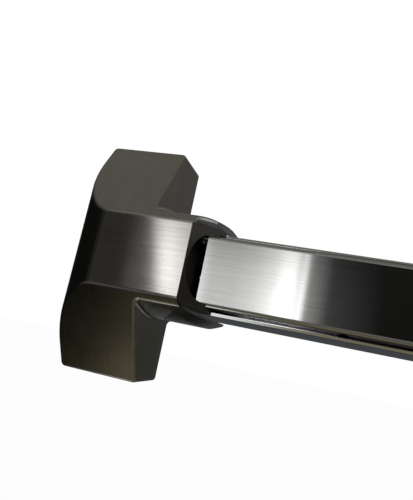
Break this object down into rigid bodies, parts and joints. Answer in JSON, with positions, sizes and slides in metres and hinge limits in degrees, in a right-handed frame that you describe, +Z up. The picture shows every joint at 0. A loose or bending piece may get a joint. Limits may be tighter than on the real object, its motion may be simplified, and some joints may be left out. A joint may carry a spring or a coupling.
{
  "type": "panic exit bar",
  "caption": "Push-pad panic exit bar: tall lock head with retracting rim latch, push pad that slides in on bell cranks, rail, hold-open screw and end cap.",
  "frame": {"origin": "on the door face at the lock head's mid-height, on the head's centre line", "axes": "+X along the bar from the head to the end cap, -Y out of the door towards the person who pushes, +Z up"},
  "size_m": [0.856, 0.092, 0.2042],
  "materials": {
    "black_screw": "black oxide",
    "bright_aluminium": "bright anodised",
    "dark_plastic": "fine grained",
    "latch_steel": "polished",
    "pad_steel": "fine brushed",
    "rubber": "matt",
    "satin_steel": "satin brushed",
    "spring_steel": "drawn wire",
    "zinc_steel": "zinc plated"
  },
  "bodies": {
    "device_body": {"head_cover": "satin_steel", "cover_screw_top": "latch_steel", "cover_screw_bottom": "latch_steel", "head_base_plate": "zinc_steel", "upper_chassis_bracket": "zinc_steel", "lower_chassis_bracket": "zinc_steel", "chassis_screw_1": "zinc_steel", "chassis_screw_2": "zinc_steel", "chassis_screw_3": "zinc_steel", "chassis_screw_4": "zinc_steel", "lever_pivot_pin": "zinc_steel", "deadlatch_spring": "spring_steel", "rail": "bright_aluminium", "push_bar_guide": "dark_plastic", "left_crank_bracket": "zinc_steel", "right_crank_bracket": "zinc_steel", "left_bracket_screw_1": "zinc_steel", "left_bracket_screw_2": "zinc_steel", "right_bracket_screw_1": "zinc_steel", "right_bracket_screw_2": "zinc_steel", "left_crank_pivot_pin": "zinc_steel", "right_crank_pivot_pin": "zinc_steel", "left_pad_bumper": "rubber", "right_pad_bumper": "rubber", "filler_cover": "pad_steel", "dogging_bracket": "zinc_steel", "dogging_bracket_screw_1": "zinc_steel", "dogging_bracket_screw_2": "zinc_steel", "end_bracket": "zinc_steel", "end_cap": "satin_steel", "end_cap_screw": "latch_steel"},
    "pad": {"push_pad": "pad_steel", "left_pad_bracket": "zinc_steel", "right_pad_bracket": "zinc_steel"},
    "left_crank_body": {"left_crank": "zinc_steel", "left_pad_pin": "zinc_steel", "left_rod_pin": "zinc_steel", "left_return_spring": "spring_steel"},
    "right_crank_body": {"right_crank": "zinc_steel", "right_pad_pin": "zinc_steel", "right_rod_pin": "zinc_steel", "right_return_spring": "spring_steel"},
    "rod_body": {"actuator_rod": "zinc_steel"},
    "lever_body": {"latch_lever": "zinc_steel", "lever_rod_pin": "zinc_steel", "lever_latch_pin": "zinc_steel"},
    "latch_body": {"latch_bolt": "latch_steel"},
    "deadlatch_body": {"deadlatch": "latch_steel"},
    "dogging_body": {"dogging_screw": "black_screw", "dogging_finger": "latch_steel", "dogging_clip": "spring_steel"}
  },
  "joints": [
    {"name": "pad_push", "type": "slide", "parent": "device_body", "child": "pad", "axis": [0, 1, 0], "range_m": [0, 0.013], "stiffness_N_per_m": 600, "springref_m": -0.02},
    {"name": "left_crank_turn", "type": "hinge", "parent": "device_body", "child": "left_crank_body", "pos_m": [0.13, -0.014, 0], "axis": [0, 0, 1], "range_deg": [0, 35.05]},
    {"name": "right_crank_turn", "type": "hinge", "parent": "device_body", "child": "right_crank_body", "pos_m": [0.47, -0.014, 0], "axis": [0, 0, 1], "range_deg": [0, 35.05]},
    {"name": "rod_pull", "type": "slide", "parent": "device_body", "child": "rod_body", "axis": [1, 0, 0], "range_m": [0, 0.01145]},
    {"name": "lever_turn", "type": "hinge", "parent": "device_body", "child": "lever_body", "pos_m": [0.006, -0.06, 0], "axis": [0, 0, -1], "range_deg": [0, 24.5]},
    {"name": "latch_retract", "type": "slide", "parent": "device_body", "child": "latch_body", "axis": [1, 0, 0], "range_m": [0, 0.01655]},
    {"name": "deadlatch_press", "type": "slide", "parent": "device_body", "child": "deadlatch_body", "axis": [1, 0, 0], "range_m": [0, 0.008], "stiffness_N_per_m": 150, "springref_m": -0.01},
    {"name": "dogging_turn", "type": "hinge", "parent": "device_body", "child": "dogging_body", "pos_m": [0.5687, -0.046, 0], "axis": [0, 1, 0], "range_deg": [0, 90]}
  ],
  "couplings": [
    {"joint": "left_crank_turn", "follows": "pad_push", "rad_per_m": 46.99},
    {"joint": "right_crank_turn", "follows": "pad_push", "rad_per_m": 46.99},
    {"joint": "rod_pull", "follows": "pad_push", "ratio": 0.87899},
    {"joint": "lever_turn", "follows": "pad_push", "rad_per_m": 32.803},
    {"joint": "latch_retract", "follows": "pad_push", "ratio": 1.2696}
  ]
}
